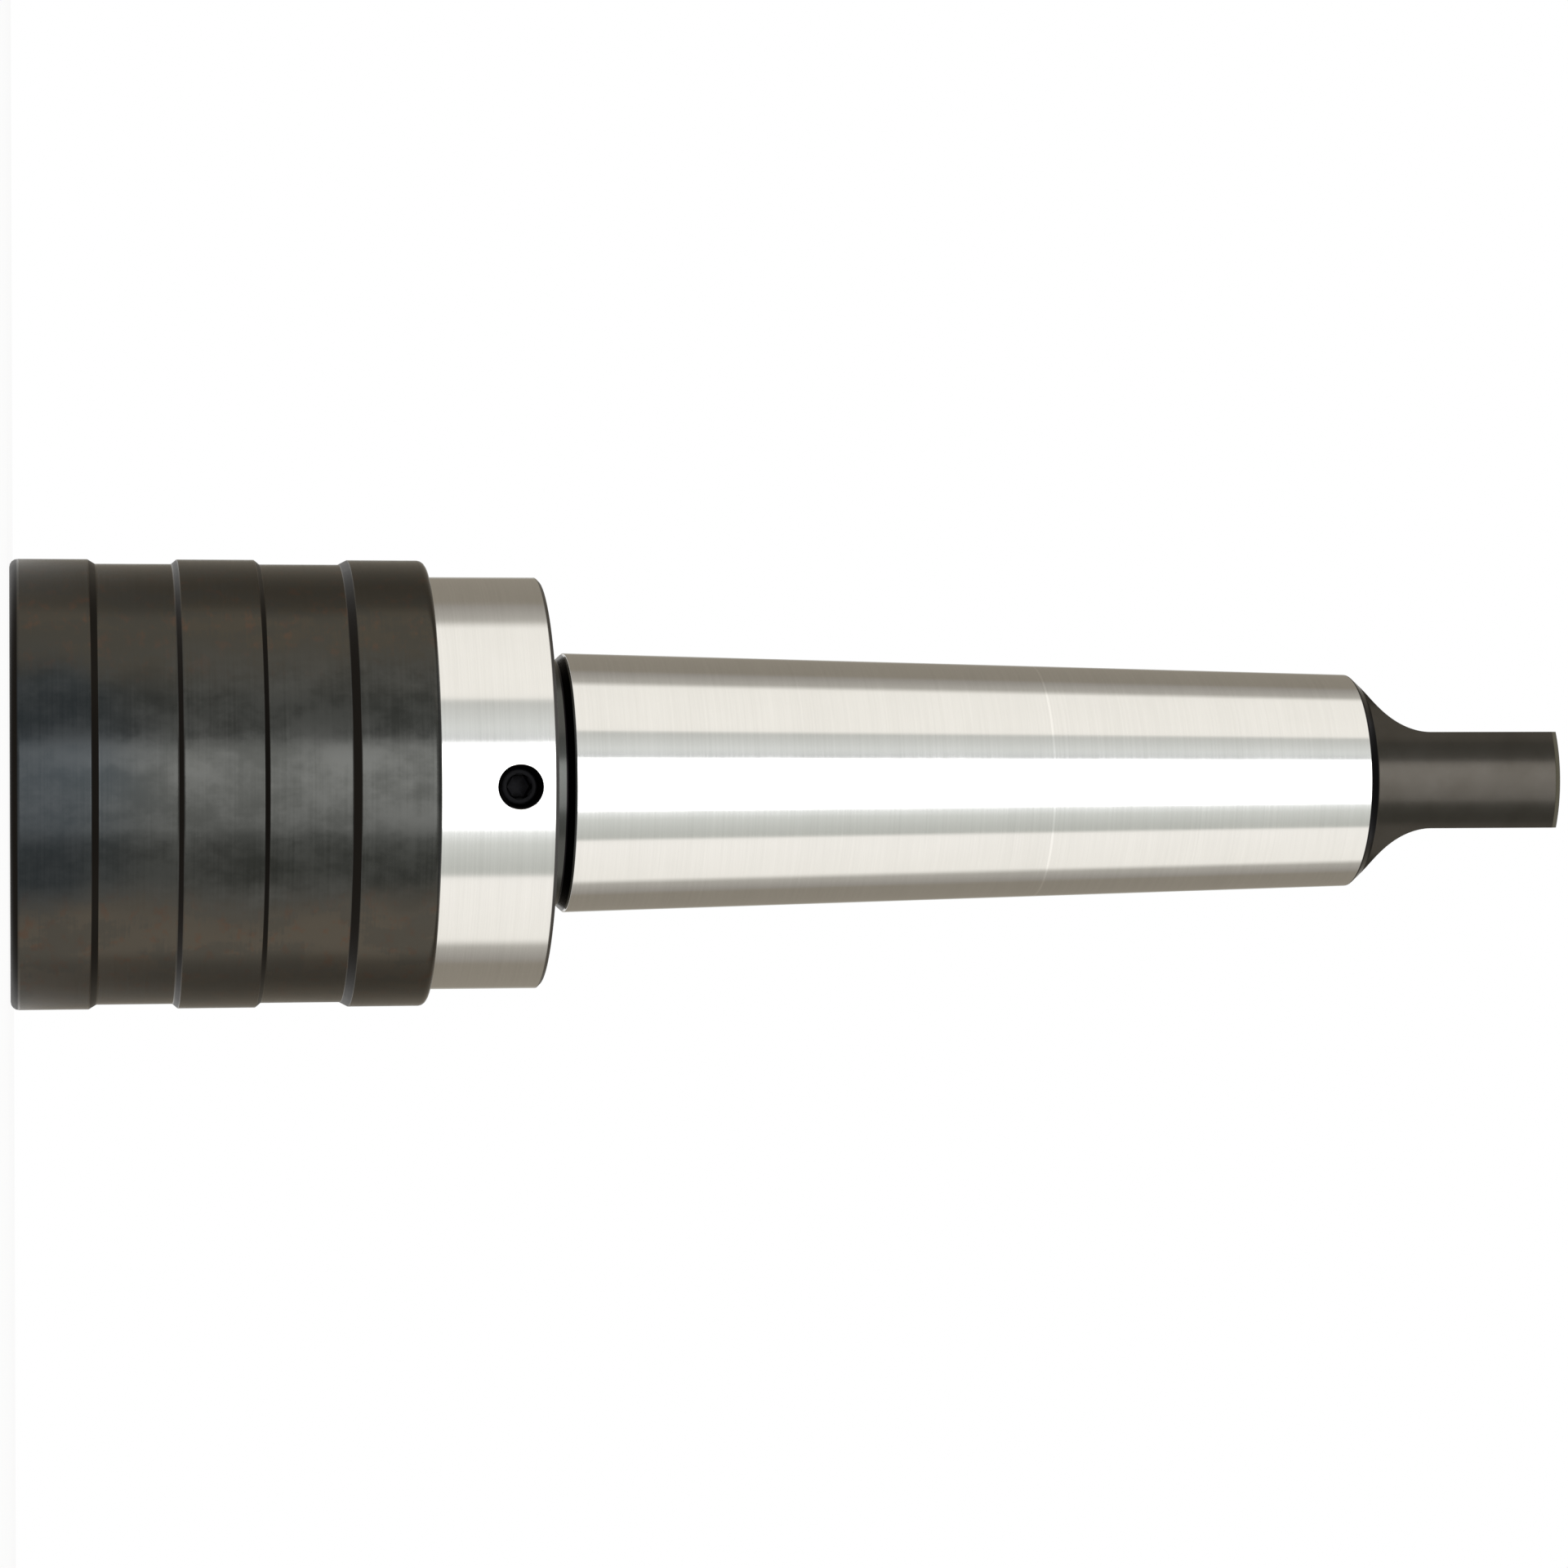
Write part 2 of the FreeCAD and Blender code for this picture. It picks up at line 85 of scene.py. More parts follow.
# Lock screw and its hole, with the square of faces that the hole takes out of the barrel's walls
SCREW_ANGLE = math.radians(-89.0)
SCREW_HEIGHT, SCREW_TOP = 58.76, 23.0
HOLE_RADIUS, HOLE_MOUTH = 2.52, 2.7
HOLE_START, HOLE_END = 0.3, 2.15
HOLE_SIDE = 17.0
SQUARE_FACES, SQUARE_REACH = 12, 3.6
THREAD_PITCH, THREAD_DEPTH, THREAD_END, THREAD_ROW = 0.8, 0.28, 2.1, 0.08
THREAD_RUN_IN, THREAD_RUN_OUT = 0.25, 0.1
SOCKET_WIDTH, SOCKET_DEPTH, SOCKET_MOUTH = 2.5, 2.3, 1.5
SCREW_COLUMNS = 96
# Side of the screw from its point to its rim, as (radius, distance from the chuck's axis)
SCREW_SIDE = ((0, 18.0), (1.2, 18.0), (1.25, 18.03), (2.45, 18.95), (2.5, 19.05), (2.5, 22.6),
              (2.48, 22.72), (2.25, 22.97), (2.2, SCREW_TOP), (1.62, SCREW_TOP))

# Shank outside: stub, neck, cone and tang
STUB_FRONT, STUB_RADIUS = 55.3, 20.03
NECK_RADIUS, NECK_END = 14.9, 65.5
TAPER_START, TAPER_BIG = 66.5, 15.8
TAPER_END, TAPER_SMALL = 164.95, 13.2433
WITNESS_FRONT, WITNESS_REAR = 124.72, 124.98
TANG_RADIUS, TANG_START, TANG_END, TANG_CHAMFER = 12.25, 166.05, 189.5, 0.8
TANG_HALF, FLAT_START, FLAT_CUTTER = 5.95, 173.15, 7.3
FLAT_OUT_OF_REACH = 1000.0
# Columns of half the round side and of one flat, and rings of the cutter's circle
ROUND_COLUMNS, FLAT_COLUMNS, CUTTER_ROWS = 96, 20, 30

# Shank inside: the rod's bore with its drill point, the collar's seat and the groove of its ring
ROD_BORE, ROD_BORE_START, ROD_BORE_END, DRILL_POINT = 9, 80, 126, 131.41
COLLAR_SEAT, RING_GROOVE, RING_FRONT, RING_REAR = 10, 10.6, 74.78, 76

# Centre hole in the tang's end, as (radius, height from the end)
CENTRE_MOUTH = 3.15
CENTRE_HOLE = ((3.08, -0.12), (1.3, -3.2), (1.25, -3.29), (1.25, -6.2), (1.2, -6.29), (0, -6.29))

# Bodies that a spring's lower and upper end rest on. A spring's welded copy stays where it is and
# rides on neither
SPRING_SEATS = {
    "compression_spring": ("spindle", "shank"),
    "tension_spring": ("shank", "spindle"),
    "sleeve_spring": ("sleeve", "spindle")}

# Edges sharper than this many degrees stay sharp
SHARP_TURNED, SHARP_WELDED = 32, 30
WELD_DISTANCE = 2e-7


class Value:
    """One output of a shader node. Sums and products of values add Math nodes."""

    def __init__(self, finish, socket):
        self.finish, self.socket = finish, socket

    def math(self, operation, *others):
        """A Math node on this value and others, in that order."""
        return self.combine(operation, self, *others)

    def combine(self, operation, *numbers):
        """A Math node on numbers and values, in the order given."""
        return self.finish.node("ShaderNodeMath", {"operation": operation},
                                dict(enumerate(numbers)))

    def __add__(self, other):
        return self.math("ADD", other)

    def __sub__(self, other):
        return self.math("SUBTRACT", other)

    def __rsub__(self, other):
        return self.combine("SUBTRACT", other, self)

    def __mul__(self, other):
        return self.math("MULTIPLY", other)

    __radd__, __rmul__ = __add__, __mul__


class Finish:
    """The node tree of one material, or of the world, filled by calls of node()."""

    def __init__(self, owner):
        owner.use_nodes = True
        self.owner, self.tree = owner, owner.node_tree
        self.tree.nodes.clear()

    def node(self, kind, settings=None, sockets=None, output=0):
        """Adds a node, sets its settings, then its sockets by name or number. Gives one output."""
        node = self.tree.nodes.new(kind)
        for name, setting in (settings or {}).items():
            if name == "stops":
                self.set_stops(node.color_ramp, setting)
            else:
                setattr(node, name, setting)
        for name, entry in (sockets or {}).items():
            if isinstance(entry, Value):
                self.tree.links.new(entry.socket, node.inputs[name])
            else:
                node.inputs[name].default_value = paint(entry)
        return Value(self, node.outputs[output]) if node.outputs else node

    def set_stops(self, ramp, stops):
        """Stops of a colour ramp as (position, (red, green, blue))."""
        while len(ramp.elements) < len(stops):
            ramp.elements.new(1.0)
        for element, (position, colour) in zip(ramp.elements, stops):
            element.position = position
            element.color = paint(colour)

    def place(self):
        """The three object coordinates in mm."""
        spot = self.node("ShaderNodeTexCoord", output="Object")
        return [self.node("ShaderNodeSeparateXYZ", sockets={0: spot}, output=axis) * 1000
                for axis in range(3)]

    def join(self, x, y, z):
        """Position made of three values."""
        return self.node("ShaderNodeCombineXYZ", sockets={0: x, 1: y, 2: z})

    def noise(self, spot, scale, detail=2.0, roughness=0.5):
        """Cloudy pattern from 0 to 1 over a position in mm."""
        return self.node("ShaderNodeTexNoise", {"noise_dimensions": "3D"},
                         {"Vector": spot, "Scale": scale, "Detail": detail,
                          "Roughness": roughness})

    def step(self, value, low, high):
        """Smooth rise from 0 to 1 while the value goes from low to high."""
        return self.node("ShaderNodeMapRange", {"interpolation_type": "SMOOTHSTEP"},
                         {"Value": value, "From Min": low, "From Max": high})

    def between(self, value, low, high, edge=0.05):
        """1 between two bounds, with soft edges, and 0 outside them."""
        return (self.step(value, low - edge, low + edge)
                - self.step(value, high - edge, high + edge))

    def mix(self, share, first, second):
        """Colour between two colours."""
        return self.node("ShaderNodeMix", {"data_type": "RGBA"}, {0: share, 6: first, 7: second},
                         output=2)

    def bump(self, height, distance, strength):
        """Normal of a surface raised by the height times the distance in mm."""
        return self.node("ShaderNodeBump", sockets={
            "Strength": strength, "Distance": distance * MM, "Height": height})

    def glow(self, colour):
        """Light of its own, at strength 1."""
        return self.node("ShaderNodeEmission", sockets={"Color": colour, "Strength": 1.0})

    def surface(self, **sockets):
        """Ends the tree with the main shader, whose sockets are named with _ for a space."""
        named = {name.replace("_", " "): entry for name, entry in sockets.items()}
        return self.end(self.node("ShaderNodeBsdfPrincipled", sockets=named))

    def end(self, shader, output="ShaderNodeOutputMaterial"):
        """Ends the tree with a shader and gives its material or world."""
        self.node(output, sockets={"Surface": shader})
        return self.owner


def paint(entry):
    """Colour with its alpha, where the entry is three numbers."""
    return (*entry, 1.0) if isinstance(entry, tuple) and len(entry) == 3 else entry


def finish(name):
    """Node tree of a new material."""
    return Finish(bpy.data.materials.new(name))


# Finishes

def turning_lines(tree, fineness):
    """Lines that run round the axis, fine along it and slowly changing round it."""
    x, y, z = tree.place()
    return tree.noise(tree.join(x * 0.05, y * 0.05, z * fineness), 1.0, 3.0, 0.6)


def ground(tree, brightest, fineness, drift, drag):
    """Colour, lines and haze of ground steel.

    The fineness, drift and drag say how fast its lines, its broad bands and its smudges change
    along the axis.
    """
    x, y, z = tree.place()
    lines = turning_lines(tree, fineness)
    broad = tree.noise(tree.join(x * 0.02, y * 0.02, z * drift), 1.0, 2.0)
    smudge = tree.noise(tree.join(x, y, z * drag), 0.22, 5.0, 0.65)
    share = lines * 0.5 + broad * 0.25 + smudge * 0.25
    return tree.mix(share, (0.69, 0.69, 0.68), brightest), lines, lines * 0.06 + smudge * 0.06


def hole_shade_mask(tree):
    """1 inside the lock screw's hole, whose wall gets painted shade, and 0 elsewhere.

    It goes by the distance from the line through the hole, the root of (across squared + up
    squared), on the hole's side of the axis.
    """
    x, y, z = tree.place()
    cosine, sine = math.cos(SCREW_ANGLE), math.sin(SCREW_ANGLE)
    across, up = y * cosine - x * sine, z - SCREW_HEIGHT
    distance = (across * across + up * up).math("SQRT")
    outward = tree.step(x * cosine + y * sine, HOLE_SIDE, HOLE_SIDE + 0.1)
    return (1 - tree.step(distance, HOLE_RADIUS + 0.08, HOLE_MOUTH - 0.04)) * outward


def ground_barrel():
    """Ground steel, bright, darker and rougher at its rear chamfer and face, and near black inside
    the screw hole as painted shade.
    """
    tree = finish("ground_barrel")
    x, y, z = tree.place()
    colour, lines, haze = ground(tree, (0.88, 0.88, 0.875), fineness=5.0, drift=0.9, drag=0.7)
    # Painted shade: the wall of the lock screw's hole is near black, and rougher
    hole = hole_shade_mask(tree)
    # Darker and rougher over the rear chamfer and face
    rear = tree.step(z, BARREL_REAR - 0.52, BARREL_REAR - 0.40)
    colour = tree.mix(rear, colour, (0.12, 0.115, 0.11))
    return tree.surface(
        Base_Color=tree.mix(hole, colour, (0.006, 0.0055, 0.0055)),
        Metallic=1.0,
        Roughness=haze + 0.05 + hole * 0.3 + rear * 0.25,
        Normal=tree.bump(lines, 0.0012, 0.5))


def ground_shank():
    """Ground cone with a witness ring, between a blackened neck and a blackened tang, and near
    black on the bevels at both ends of the cone as painted shade.
    """
    tree = finish("ground_shank")
    x, y, z = tree.place()
    spot = tree.join(x, y, z)
    steel, lines, haze = ground(tree, (0.875, 0.875, 0.87), fineness=4.0, drift=0.35, drag=0.6)
    ring = tree.between(z, WITNESS_FRONT, WITNESS_REAR, 0.08)
    steel = tree.mix(ring * 0.7, steel, (0.93, 0.93, 0.925))

    cloud = tree.noise(spot, 0.16, 4.0, 0.6)
    grit = tree.noise(spot, 3.0, 3.0, 0.7)
    neck = 1 - tree.step(z, NECK_END - 0.25, NECK_END - 0.15)
    end = tree.between(z, TANG_END - TANG_CHAMFER, TANG_END - 0.06)
    # Painted shade: the bevels at both ends of the cone are near black
    bevel_shade = (tree.between(z, NECK_END - 0.2, TAPER_START - 0.2)
              + tree.between(z, TAPER_END - 0.12, TANG_START - 0.05))
    black = tree.mix(cloud, (0.036, 0.032, 0.026), (0.066, 0.061, 0.054))
    black = tree.mix(neck, black, (0.075, 0.078, 0.074))
    black = tree.mix(end, black, (0.15, 0.135, 0.085))
    black = tree.mix(bevel_shade, black, (0.006, 0.005, 0.006))

    cone = tree.between(z, TAPER_START - 0.2, TAPER_END - 0.12)
    return tree.surface(
        Base_Color=tree.mix(cone, black, steel),
        Metallic=1.0,
        Roughness=cone * (haze + 0.04) + (1 - cone) * (grit * 0.08 + 0.17),
        Normal=tree.bump(lines * cone + (1 - cone) * grit * 2.0, 0.0012, 0.5))


def black_oxide():
    """Blackened steel of the sleeve.

    It is grey on two sides and brown between them. The brown is partly painted reflection, the
    warm tint the sides show at a slant, lighter toward +x, and partly real rusty stains. It is
    blue near the nose on one side, and near black with painted shade, and duller, on the ramps
    between bands and recesses and at the nose's rounded rim.
    """
    tree = finish("black_oxide")
    x, y, z = tree.place()
    spot = tree.join(x, y, z)
    lines = turning_lines(tree, 3.5)
    cloud = tree.noise(tree.join(x, y, z * 0.6), 0.16, 6.0, 0.68) * 0.8 + lines * 0.2
    cloud = tree.step(cloud, 0.36, 0.64)
    patch = tree.noise(spot, 0.06, 2.0) - 0.5
    stain = tree.noise(tree.join(x, y, z * 1.5), 0.45, 3.0, 0.6)

    grey = tree.mix(cloud, (0.040, 0.041, 0.038), (0.071, 0.072, 0.068))
    blue = tree.mix(cloud, (0.028, 0.033, 0.036), (0.048, 0.053, 0.056))
    # Painted reflection: the brown stands for the warm tint the sides show at a slant, lighter
    # toward +x; the rusty stains below are real
    brown = tree.mix(tree.step(x, -8.0, 16.0), (0.066, 0.059, 0.047), (0.084, 0.074, 0.060))
    brown = tree.mix(tree.step(stain, 0.52, 0.70) * 0.7, brown, (0.095, 0.062, 0.044))
    brown = tree.mix(tree.step(cloud, 0.40, 0.62) * 0.35, brown, (0.048, 0.050, 0.046))

    # Where the painted reflection's brown takes over from the grey, by how far a point lies along
    # x
    side = tree.step(x.math("ABSOLUTE") + patch * 10, 10.5, 17.5)
    nose = (1 - tree.step(z + patch * 12, 5.0, 21.0)) * tree.step(y * -1.0, 19.0, 25.0)
    # Painted shade: near black at the nose's rounded rim and on the ramps between bands and
    # recesses, which are also rougher
    shaded_ramps = 1 - tree.step(z, 0.75, 0.95)
    for low, high in zip(BAND_EDGES[::2], BAND_EDGES[1::2]):
        shaded_ramps = shaded_ramps + tree.between(z, low + 0.05, high - 0.05, 0.06)
    colour = tree.mix(side, tree.mix(nose, grey, blue), brown)
    return tree.surface(
        Base_Color=tree.mix(shaded_ramps, colour, (0.014, 0.012, 0.010)),
        Metallic=1.0,
        Roughness=cloud * 0.04 + lines * 0.05 + shaded_ramps * 0.16 + 0.165,
        Normal=tree.bump(lines, 0.0008, 0.3))


def hardened_steel():
    """Hardened and turned steel of the parts inside, with a straw tint in places."""
    tree = finish("hardened_steel")
    lines = turning_lines(tree, 3.0)
    cloud = tree.noise(tree.join(*tree.place()), 0.2, 3.0)
    return tree.surface(
        Base_Color=tree.mix(cloud, (0.42, 0.41, 0.40), (0.56, 0.55, 0.53)),
        Metallic=1.0,
        Roughness=lines * 0.12 + 0.22,
        Normal=tree.bump(lines, 0.002, 0.5))


def clouded(name, scale, detail, dark, light, smoothest, duller, grain=None, metallic=1.0):
    """Finish whose colour, gloss and grain follow one cloudy pattern.

    Its colour goes from dark to light and its roughness up from the smoothest by duller. The
    grain is the depth of its bumps in mm and their strength.
    """
    tree = finish(name)
    cloud = tree.noise(tree.join(*tree.place()), scale, detail)
    bumps = {"Normal": tree.bump(cloud, *grain)} if grain else {}
    return tree.surface(Base_Color=tree.mix(cloud, dark, light), Metallic=metallic,
                        Roughness=cloud * duller + smoothest, **bumps)


# Surfaces

def rounded(corners, steps=4, support=0.12):
    """Closed section whose corners are arcs, from rows of (radius, height, rounding) in mm.

    An arc meets both sides at rounding / tan(half the angle between them) from the corner. One
    more point beyond each end of the arc keeps the shading of the sides flat. The result has one
    row per corner.
    """
    spots = np.array(corners, float)
    here, size = spots[:, :2], spots[:, 2:]
    back, ahead = np.roll(here, 1, axis=0) - here, np.roll(here, -1, axis=0) - here
    back_length = np.linalg.norm(back, axis=1, keepdims=True)
    ahead_length = np.linalg.norm(ahead, axis=1, keepdims=True)
    back, ahead = back / back_length, ahead / ahead_length
    half = np.arccos(np.clip((back * ahead).sum(axis=1, keepdims=True), -1, 1)) / 2
    touch = size / np.tan(half)
    middle = back + ahead
    middle = middle / np.linalg.norm(middle, axis=1, keepdims=True)
    centre = here + middle * size / np.sin(half)
    first = (here + back * touch - centre)[:, None]
    last = (here + ahead * touch - centre)[:, None]
    sweep = (np.pi - 2 * half)[:, None]
    share = np.linspace(0, 1, steps + 1)[None, :, None]
    arc = np.sin((1 - share) * sweep) * first + np.sin(share * sweep) * last
    arc = centre[:, None] + arc / np.sin(sweep)
    spare_back = back_length - touch - np.roll(touch, 1, axis=0)
    spare_ahead = ahead_length - touch - np.roll(touch, -1, axis=0)
    before = here + back * (touch + np.minimum(support, 0.3 * spare_back))
    after = here + ahead * (touch + np.minimum(support, 0.3 * spare_ahead))
    return np.concatenate([before[:, None], arc, after[:, None]], axis=1)


def round_angles(columns):
    """Angles of the columns of a grid: a full turn times the column's number / the columns."""
    return 2 * np.pi * np.arange(columns) / columns


def turned(radius, height, angle):
    """Points in metres: a radius r, height h and angle a give (r cos a, r sin a, h)."""
    parts = np.broadcast_arrays(radius * np.cos(angle), radius * np.sin(angle), height)
    return np.stack(parts, axis=-1) * MM


def beside_screw(along, across, up):
    """Points in metres, from distances along the screw's line, across it and up from it.

    With the screw's angle s they lie at (along cos s - across sin s, along sin s + across cos s,
    screw's height + up).
    """
    cosine, sine = math.cos(SCREW_ANGLE), math.sin(SCREW_ANGLE)
    parts = (along * cosine - across * sine, along * sine + across * cosine, SCREW_HEIGHT + up)
    return np.stack(parts, axis=-1) * MM


def quads(rows, columns, closed_rows=False, kept=None):
    """Faces of a grid as four corner numbers each.

    The columns wrap round, and so do the rows of a closed section.
    """
    row = np.arange(rows if closed_rows else rows - 1)[:, None]
    column = np.arange(columns)[None, :]
    low, high = row * columns, (row + 1) % rows * columns
    after = (column + 1) % columns
    corners = np.broadcast_arrays(low + column, low + after, high + after, high + column)
    faces = np.stack(corners, axis=-1)
    return faces.reshape(-1, 4) if kept is None else faces[kept]


def piece(name, node, parts, material):
    """Object made of (points, faces) grids, which are welded where they meet."""
    offsets = np.cumsum([0] + [points.reshape(-1, 3).shape[0] for points, _ in parts])
    points = np.concatenate([points.reshape(-1, 3) for points, _ in parts])
    faces = np.concatenate([faces + offset for (_, faces), offset in zip(parts, offsets)])
    mesh = bpy.data.meshes.new(name)
    mesh.vertices.add(len(points))
    mesh.vertices.foreach_set("co", points.ravel())
    mesh.loops.add(faces.size)
    mesh.loops.foreach_set("vertex_index", faces.ravel())
    mesh.polygons.add(len(faces))
    mesh.polygons.foreach_set("loop_start", np.arange(len(faces)) * 4)
    mesh.update(calc_edges=True)
    return dressed(name, node, mesh, material, SHARP_TURNED)


def dressed(name, node, mesh, material, sharp):
    """Welds a mesh, turns its faces outward, shades it and lets it stand for a CAD node."""
    if "custom_normal" in mesh.attributes:
        mesh.attributes.remove(mesh.attributes["custom_normal"])
    work = bmesh.new()
    work.from_mesh(mesh)
    bmesh.ops.remove_doubles(work, verts=work.verts, dist=WELD_DISTANCE)
    bmesh.ops.recalc_face_normals(work, faces=work.faces)
    work.to_mesh(mesh)
    work.free()
    mesh.shade_smooth()
    mesh.set_sharp_from_angle(angle=math.radians(sharp))
    mesh.materials.clear()
    mesh.materials.append(material)
    made = bpy.data.objects.new(name, mesh)
    bpy.context.scene.collection.objects.link(made)
    if node in SPRING_SEATS:
        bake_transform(made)
    else:
        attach(made, frame["nodes"][node]["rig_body"])
    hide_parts(node)
    return made


def release_sleeve(material):
    """Sleeve turned from a rounded section: three bands, two recesses, cam cone and chamber."""
    radius, land = SLEEVE_RADIUS, SLEEVE_LAND_RADIUS
    edges, chamber, groove = BAND_EDGES, SLEEVE_CHAMBER, WIPER_GROOVE
    section = rounded([
        (radius, 0, 1.0), (radius, edges[0], 0.12), (land, edges[1], 0.2),
        (land, edges[2], 0.2), (radius, edges[3], 0.12), (radius, edges[4], 0.12),
        (land, edges[5], 0.2), (land, edges[6], 0.2), (radius, edges[7], 0.12),
        (radius, SLEEVE_LENGTH, 0.9), (chamber, SLEEVE_LENGTH, 0.2), (chamber, WIPER_REAR, 0.02),
        (groove, WIPER_REAR, 0.02), (groove, WIPER_FRONT, 0.02), (chamber, WIPER_FRONT, 0.02),
        (chamber, CHAMBER_FRONT, 0.1), (CAM_RECESS, CHAMBER_FRONT, 0.1),
        (CAM_RECESS, CAM_LAND_END, 0.1), (SLEEVE_BORE, CAM_LAND_END, 0.1),
        (SLEEVE_BORE, CAM_END, 0.1), (CAM_RECESS, CAM_START, 0.1), (CAM_RECESS, CAM_FRONT, 0.1),
        (SLEEVE_BORE, CAM_FRONT, 0.1), (SLEEVE_BORE, NOSE_DEPTH, 0.1),
        (NOSE_RECESS, NOSE_DEPTH, 0.1), (NOSE_RECESS, 0, 0.1)]).reshape(-1, 2)
    points = turned(section[:, :1], section[:, 1:], round_angles(SLEEVE_COLUMNS))
    faces = quads(len(section), SLEEVE_COLUMNS, closed_rows=True)
    return piece("sleeve_turned", "release_sleeve", [(points, faces)], material)


def groove_radius(angle):
    """How far the ball grooves reach from the axis at each angle.

    A groove is a circle of radius g round a point at distance c. A line from the axis at the
    angle a to that point leaves it at c cos a + the root of (g squared - c squared sin squared a).
    """
    reach = np.zeros_like(angle)
    for centre in np.radians(GROOVE_ANGLES):
        turn = angle - centre
        inside = GROOVE_BALL ** 2 - (GROOVE_CIRCLE * np.sin(turn)) ** 2
        found = GROOVE_CIRCLE * np.cos(turn) + np.sqrt(np.maximum(inside, 0))
        reach = np.where((inside > 0) & (np.cos(turn) > 0), np.maximum(reach, found), reach)
    return reach


def barrel(material):
    """Barrel turned from its section, with ball grooves in the bore and a tapped hole.

    The section goes up the outside and down the bore. A square of faces is left out of both
    walls, and tapped_hole() joins the two squares.
    """
    square_up = np.linspace(-SQUARE_REACH, SQUARE_REACH, SQUARE_FACES + 1)
    corners = rounded([
        (BARREL_RADIUS - FRONT_CHAMFER, BARREL_FRONT, 0.1),
        (BARREL_RADIUS, BARREL_FRONT + FRONT_CHAMFER, 0.3),
        (BARREL_RADIUS, BARREL_REAR - REAR_CHAMFER, 0.08),
        (BARREL_RADIUS - REAR_CHAMFER, BARREL_REAR, 0.08),
        (BARREL_BORE, BARREL_REAR, 0.1), (BARREL_BORE, BARREL_FRONT, 0.1)])
    section = np.concatenate([
        corners[:2].reshape(-1, 2),
        np.stack([0 * square_up + BARREL_RADIUS, SCREW_HEIGHT + square_up], axis=1),
        corners[2:5].reshape(-1, 2),
        np.stack([0 * square_up + BARREL_BORE, SCREW_HEIGHT - square_up], axis=1),
        [[BARREL_BORE, GROOVE_END], [BARREL_BORE, GROOVE_END]], corners[5]])
    rows, corner_rows = len(section), corners.shape[1]
    angle = SCREW_ANGLE + BARREL_STEP * (np.arange(BARREL_COLUMNS) - SQUARE_FACES // 2)
    radius = section[:, :1] * np.ones(BARREL_COLUMNS)
    # The grooves open the bore from the second row at their end down to the front
    grooved = rows - corner_rows - 1
    radius[grooved:] = np.maximum(radius[grooved:], groove_radius(angle))

    outer_row = 2 * corner_rows
    inner_row = outer_row + SQUARE_FACES + 1 + 3 * corner_rows
    kept = np.ones((rows, BARREL_COLUMNS), bool)
    kept[outer_row:outer_row + SQUARE_FACES, :SQUARE_FACES] = False
    kept[inner_row:inner_row + SQUARE_FACES, :SQUARE_FACES] = False
    wall = turned(radius, section[:, 1:], angle), quads(rows, BARREL_COLUMNS, True, kept)
    return piece("barrel_ground", "barrel", [wall, tapped_hole(square_up)],
                 material)


def tapped_hole(square_up):
    """Grid down the lock screw's hole, in rings from the outer square to the inner one.

    Across and up are distances from the hole's line, and along goes along it from the axis. A
    ring on a wall lies between the square and the circle by its share, at the distance along of
    the root of (wall radius squared - across squared). In the hole, the thread takes the zigzag
    of (depth / pitch + turn) off the hole's radius, and fades at both ends.
    """
    edge, none = np.arange(SQUARE_FACES), np.zeros(SQUARE_FACES, int)
    loop_up = np.concatenate([none, edge, none + SQUARE_FACES, SQUARE_FACES - edge])
    loop_across = np.concatenate([edge, none + SQUARE_FACES, SQUARE_FACES - edge, none])
    loop_across = np.sin(BARREL_STEP * (loop_across - SQUARE_FACES // 2))
    loop_up = square_up[loop_up]
    turn = np.arctan2(loop_up, loop_across * BARREL_RADIUS)

    depth = np.arange(HOLE_START + THREAD_ROW, THREAD_END, THREAD_ROW)
    depth = np.concatenate([[HOLE_START], depth, [HOLE_END]])[:, None]
    fade = (np.clip((depth - HOLE_START) / THREAD_RUN_IN, 0, 1)
            * np.clip((THREAD_END - depth) / THREAD_RUN_OUT, 0, 1))
    phase = (depth / THREAD_PITCH + turn / (2 * np.pi)) % 1
    hole = HOLE_RADIUS - THREAD_DEPTH * fade * (1 - np.abs(2 * phase - 1))

    share = np.linspace(0, 1, 6)[:, None]
    rings = []
    for wall, size, order in ((BARREL_RADIUS, HOLE_MOUTH, share),
                              (BARREL_BORE, HOLE_RADIUS, share[::-1])):
        across = (1 - order) * loop_across * wall + order * size * np.cos(turn)
        up = (1 - order) * loop_up + order * size * np.sin(turn)
        rings.append((np.sqrt(wall ** 2 - across ** 2), across, up))
    thread = (BARREL_RADIUS - depth + 0 * turn, hole * np.cos(turn), hole * np.sin(turn))
    rings.insert(1, thread)
    points = beside_screw(*(np.concatenate(parts) for parts in zip(*rings)))
    return points, quads(len(points), len(turn))


